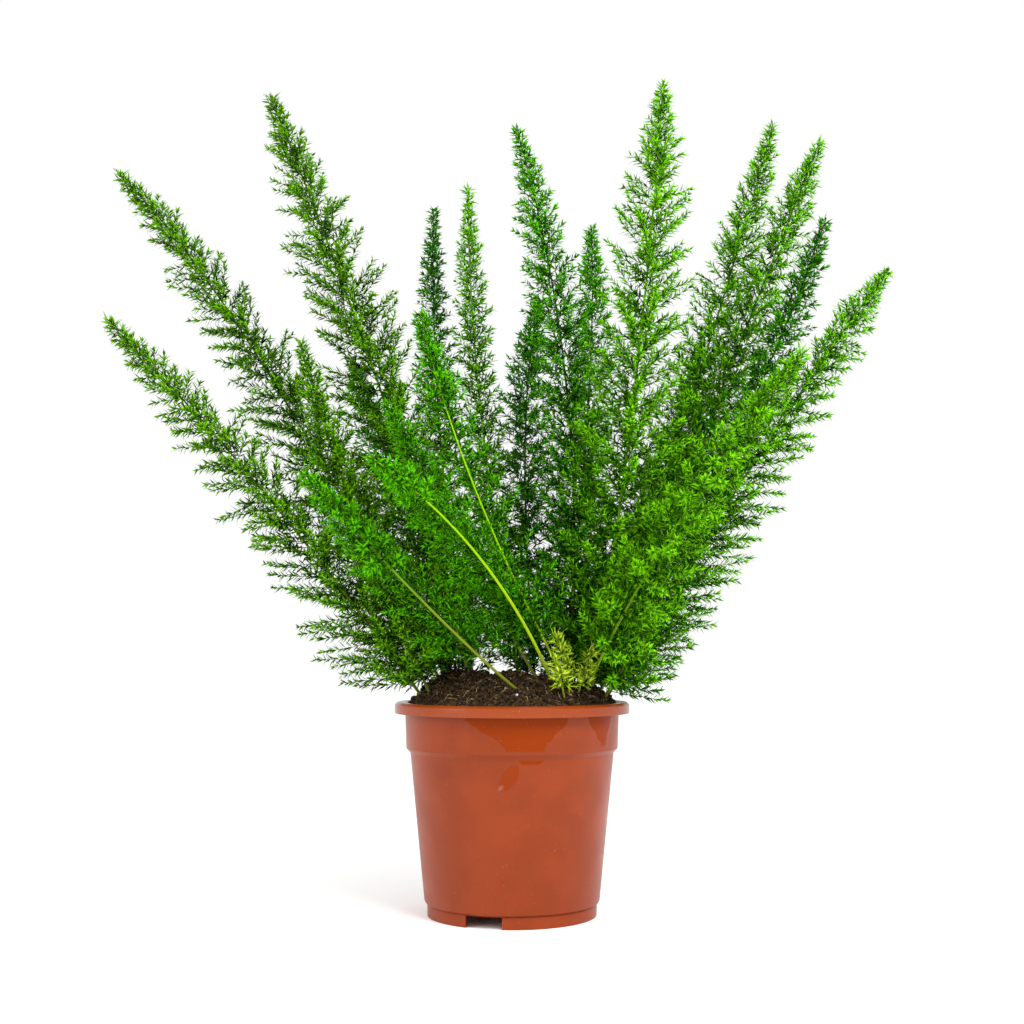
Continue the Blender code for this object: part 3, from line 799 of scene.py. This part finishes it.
def grow_plume(name, line, reach, greens, stem_finish, slot, seed, first_bare, spacing,
               parted=0.0, stout=1.0, size=1.0):
    """Grows a plume's stem, twigs and needles, and puts them in the CAD node's place.

    Up to the share called parted, its twigs leave the side that faces the viewer open."""
    chance = random.Random(seed)
    marks = [0.0]
    for here, after in zip(line, line[1:]):
        marks.append(marks[-1] + (after - here).length)
    length = marks[-1]
    root = line[0] - (line[1] - line[0]).normalized() * root_depth
    radii = [stem_radius_foot * stout]
    radii += [(stem_radius_foot + (stem_radius_tip - stem_radius_foot) * mark / length) * stout
              for mark in marks]
    points, faces = tube([root] + line, radii, stem_sides)
    stem_points, needles = len(points), []
    side_way = (line[1] - line[0]).orthogonal()
    along, turn_by = first_bare, chance.uniform(0, math.tau)
    while along < length - stem_end:
        centre, axis = place_along(line, marks, along)
        side_way = (side_way - axis * side_way.dot(axis)).normalized()
        away = length - along
        reach_here = reach * float(np.interp(away, reach_away, reach_shares))
        opened = float(np.interp(away, twig_open_away, twig_opens))
        opened += chance.uniform(-open_sway, open_sway)
        turn_by += golden_turn + chance.uniform(-turn_sway, turn_sway)
        outward = Matrix.Rotation(turn_by, 3, axis) @ side_way
        if along < parted * length and outward.y < viewer_side:
            along += spacing / 2
            continue
        twig_length = reach_here / math.sin(opened) * chance.uniform(*twig_lengths)
        twig_length *= 1 - twig_up_less * outward.z
        sway = Vector([chance.uniform(-twig_sway, twig_sway) for _ in range(3)])
        way = (outward * math.sin(opened) + axis * math.cos(opened) + sway).normalized()
        curl = (axis * twig_ahead + Vector((0, 0, twig_sag)) + sway) / twig_steps
        twig, twig_ways = twig_line(centre, way, curl, twig_length)
        if any(buried(point) for point in twig[1:]):
            twig_length /= 2
            twig, twig_ways = twig_line(centre, way, curl, twig_length)
        if any(buried(point) for point in twig[1:]):
            along += spacing / 2
            continue
        thin = [twig_radius * size * (1 - twig_thinning * step / twig_steps)
                for step in range(twig_steps + 1)]
        add_part(points, faces, *tube(twig, thin, twig_sides))
        # Painted light: needles are painted brighter near the plume's tip.
        tone = plume_tip_painted_light * min(1.0, light_reach / (away + light_reach / 2))
        needles += needles_round(twig, twig_ways, twig_length, size, tone, chance)
        crowding = tip_crowding + crowding_less * min(away / crowded_from, 1.0)
        along += spacing * chance.uniform(*pitch_range) * crowding
    branches = add_mesh(name + "_stem", points, faces, stem_finish)
    on_twig = [float(point >= stem_points) for point in range(len(points))]
    branches.data.attributes.new("twig", "FLOAT", "POINT").data.foreach_set("value", on_twig)
    foliage = add_needles(name + "_needles", needles, needle_width * size, greens)
    for piece in (branches, foliage):
        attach(piece, "root")
        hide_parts(name)


mid_leaf = leaf_green("mid_leaf", paint(2, 36, 0), paint(96, 196, 4))
left_leaf = leaf_green("left_leaf", paint(4, 34, 0), paint(112, 184, 8))
right_leaf = leaf_green("right_leaf", paint(5, 52, 0), paint(124, 214, 8))
dark_leaf = leaf_green("dark_leaf", paint(0, 30, 0), paint(68, 154, 4))
light_leaf = leaf_green("light_leaf", paint(9, 64, 0), paint(128, 216, 12))
mid_stem = stem_green("mid_stem", paint(112, 118, 42), paint(52, 92, 14))
dark_stem = stem_green("dark_stem", paint(84, 82, 34), paint(32, 64, 10))
light_stem = stem_green("light_stem", paint(124, 158, 26), paint(104, 164, 18))
bright_stem = stem_green("bright_stem", paint(158, 182, 18), paint(140, 196, 10))
olive_stem = stem_green("olive_stem", paint(116, 124, 34), paint(96, 156, 14))
# Plumes of one look: their leaf, stem and slot, and their names
plume_groups = (
    (left_leaf, mid_stem, "green_foliage",
     ("plume_left_low", "plume_left_upper", "plume_left_tall", "plume_left_inner")),
    (right_leaf, mid_stem, "green_foliage",
     ("plume_right_tall", "plume_right_mid", "plume_right_low")),
    (mid_leaf, mid_stem, "green_foliage", ("plume_front_inner",)),
    (mid_leaf, bright_stem, "green_foliage", ("plume_front_high", "plume_front_left")),
    (mid_leaf, olive_stem, "green_foliage", ("plume_front_low",)),
    (light_leaf, light_stem, "light_foliage",
     ("plume_tall_bright", "plume_slim_bright", "plume_front_right")),
    (mid_leaf, dark_stem, "dark_foliage", ("plume_broad_dark", "plume_back_short")),
    (dark_leaf, dark_stem, "dark_foliage",
     ("plume_slim_dark", "plume_right_dark", "plume_back_centre", "plume_back_left",
      "plume_back_right")),
)
plume_looks = {name: group[:3] for group in plume_groups for name in group[3]}
for seed, (name, (foot, waist, tip, reach)) in enumerate(plumes.items()):
    first_bare = front_bare if name.startswith("plume_front") else bare_foot
    parted, stout = front_plumes.get(name, (0.0, 1.0))
    grow_plume(name, stem_line(foot, waist, tip), reach, *plume_looks[name], seed, first_bare,
               twig_spacing, parted, stout)

# The young shoots: this season's growth, low between the old stems, lime yellow and
# tender, with larger needles on slim stems.
shoots = {
    "shoot_left": ((0.040, -0.045), (0.036, -0.048, 0.182), (0.029, -0.050, 0.200), 0.020),
    "shoot_right": ((0.047, -0.036), (0.052, -0.040, 0.178), (0.057, -0.042, 0.192), 0.020),
    "shoot_low": ((0.036, -0.053), (0.033, -0.058, 0.170), (0.028, -0.064, 0.185), 0.018),
}
shoot_bare = 0.004
shoot_spacing = 0.0026
shoot_stout = 0.6
shoot_size = 1.2
first_shoot_seed = 40
young_leaf = leaf_green("young_leaf", paint(146, 204, 14), paint(224, 250, 70))
young_stem = stem_green("young_stem", paint(150, 162, 50), paint(150, 168, 44))
for seed, (name, (foot, waist, tip, reach)) in enumerate(shoots.items(), first_shoot_seed):
    grow_plume(name, stem_line(foot, waist, tip), reach, young_leaf, young_stem, "young_foliage",
               seed, shoot_bare, shoot_spacing, stout=shoot_stout, size=shoot_size)

# The studio: a white table top that runs back without an edge and has a faint painted glow,
# left out under the pot so that it stays darker there as painted shade. A soft key light stands
# at the upper right and a fill at the left, in even white light from all round.
table_reach = 6.0
table_glow = 0.06
white = (1.0, 1.0, 1.0, 1.0)
table_white = mottled("table_white", paint(253, 253, 253), paint(255, 255, 255), 3.0, 0.9)
table_shader = table_white.node_tree.nodes["Principled BSDF"]
table_shader.inputs["Emission Color"].default_value = white
from_middle = add_node(table_white, "ShaderNodeVectorMath", {0: own_place(table_white)},
                       operation="LENGTH").outputs["Value"]
# Painted glow on the table, left out under the pot, where it stays darker as painted shade.
past_pot = fade(table_white, from_middle, foot_radius - foot_wall, foot_radius)
painted_glow = sum_of(table_white, "MULTIPLY", past_pot, table_glow)
feed(table_white, table_shader, Emission_Strength=painted_glow)
table_corners = [(-table_reach, -table_reach, 0), (table_reach, -table_reach, 0),
                 (table_reach, table_reach, 0), (-table_reach, table_reach, 0)]
floor = add_mesh("floor", table_corners, [(0, 1, 2, 3)], table_white)
world = bpy.data.worlds.new("studio")
bpy.context.scene.world = world
world.use_nodes = True
world.node_tree.nodes["Background"].inputs["Color"].default_value = white
world.node_tree.nodes["Background"].inputs["Strength"].default_value = 1.0


def soft_light(name, place, aim, size, power):
    """A lamp behind a rectangle of white cloth, aimed at a point."""
    lamp = bpy.data.lights.new(name, "AREA")
    lamp.shape = "RECTANGLE"
    lamp.size, lamp.size_y = size
    lamp.energy = power
    stand = bpy.data.objects.new(name, lamp)
    stand.location = place
    stand.rotation_euler = (Vector(aim) - Vector(place)).to_track_quat("-Z", "Y").to_euler()
    bpy.context.scene.collection.objects.link(stand)


soft_light("key", (0.8, -1.1, 1.5), (0, 0, 0.3), (0.9, 0.9), 30.0)
soft_light("fill", (-1.3, -0.9, 0.9), (0, 0, 0.25), (0.7, 1.2), 9.0)

# The camera: level with the soil and a little over a metre off, tipped up a little. Its lens
# is the one that fits the pot's rim, collar and foot in the photo, in pixels of its width.
photo_width = 1024
photo_focal = 1466.1
film_width = 36.0
camera_tip = math.radians(5.0)
lens = bpy.data.cameras.new("camera")
lens.sensor_width = film_width
lens.lens = film_width * photo_focal / photo_width
camera = bpy.data.objects.new("camera", lens)
camera.location = (0.0, -1.0747, 0.1958)
camera.rotation_euler = (math.pi / 2 + camera_tip, 0.0, 0.0)
bpy.context.scene.collection.objects.link(camera)
bpy.context.scene.camera = camera
bpy.context.scene.view_settings.view_transform = "Standard"
